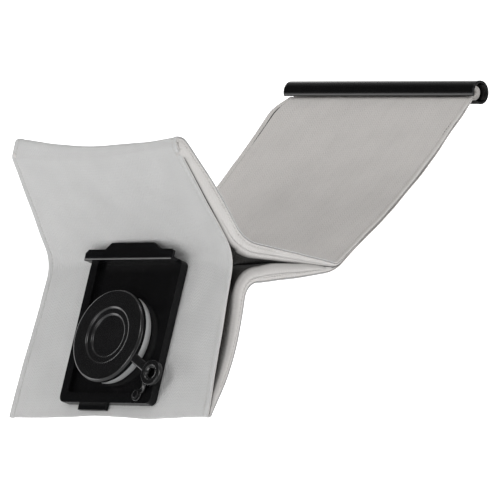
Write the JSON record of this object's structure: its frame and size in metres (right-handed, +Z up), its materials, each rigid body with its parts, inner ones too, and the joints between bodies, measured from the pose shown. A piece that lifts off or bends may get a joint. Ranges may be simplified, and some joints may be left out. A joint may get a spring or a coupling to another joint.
{
  "type": "reusable dust extractor filter bag",
  "caption": "Reusable side-gusseted cloth dust bag with a tethered-cap collar plate on one face and a slide-on closing rail across its far end.",
  "frame": {"origin": "centre of the inlet port on the collar plate's front face", "axes": "+X along the bag's width, to the right as seen from the port side; -Y out of the port side; +Y back towards the closing rail; +Z up as shown in the picture"},
  "size_m": [0.2263, 0.3551, 0.2853],
  "materials": {
    "cloth": "matt light-grey woven filter cloth with a fine diagonal twill",
    "gusset": "the same cloth on the folded-in sides",
    "seam": "stitched seam bands in a lighter shade",
    "collar_plastic": "smooth moulded, semi-gloss black",
    "cap_plastic": "softer satin dark grey",
    "inner_plastic": "plain moulded black",
    "rail_plastic": "extruded, glossy black",
    "seal": "light-grey soft seal"
  },
  "bodies": {
    "collar": {"collar_plate": "collar_plastic", "backing_plate": "inner_plastic", "seal_ring": "seal", "tether_post": "collar_plastic", "lower_pocket_cloth": "cloth", "lower_gusset_right": "gusset", "lower_gusset_left": "gusset", "lower_seam_right": "seam", "lower_seam_left": "seam"},
    "upper_pocket": {"upper_pocket_cloth": "cloth", "upper_gusset_right": "gusset", "upper_gusset_left": "gusset", "upper_seam_right": "seam", "upper_seam_left": "seam"},
    "neck": {"neck_top_cloth": "cloth", "neck_bottom_cloth": "cloth", "neck_gusset_right": "gusset", "neck_gusset_left": "gusset", "neck_seam_top_right": "seam", "neck_seam_top_left": "seam", "neck_seam_bottom_right": "seam", "neck_seam_bottom_left": "seam"},
    "tail": {"tail_front_cloth": "cloth", "tail_back_cloth": "cloth", "tail_bead": "seam", "tail_gusset_right": "gusset", "tail_gusset_left": "gusset", "tail_seam_front_right": "seam", "tail_seam_front_left": "seam", "tail_seam_back_right": "seam", "tail_seam_back_left": "seam"},
    "rail": {"closing_rail": "rail_plastic"},
    "cap": {"port_cap": "cap_plastic", "pull_ring": "cap_plastic", "tether_strap": "cap_plastic"}
  },
  "joints": [
    {"name": "upper_pocket_fold", "type": "hinge", "parent": "collar", "child": "upper_pocket", "pos_m": [0.006, 0.028, 0.081], "axis": [1, 0, 0], "range_deg": [-30, 10]},
    {"name": "neck_fold", "type": "hinge", "parent": "collar", "child": "neck", "pos_m": [0.006, 0.028, 0.081], "axis": [1, 0, 0], "range_deg": [-10, 10]},
    {"name": "tail_fold", "type": "hinge", "parent": "neck", "child": "tail", "pos_m": [0.006, 0.136, 0.059], "axis": [0.9993, -0.0354, -0.0088], "range_deg": [-50, 40]},
    {"name": "rail_slide", "type": "slide", "parent": "tail", "child": "rail", "axis": [0.9996, 0, -0.03], "range_m": [0, 0.225]},
    {"name": "cap_pull", "type": "slide", "parent": "collar", "child": "cap", "axis": [0, -0.9511, 0.309], "range_m": [0, 0.03], "deforming": ["tether_strap"]}
  ]
}
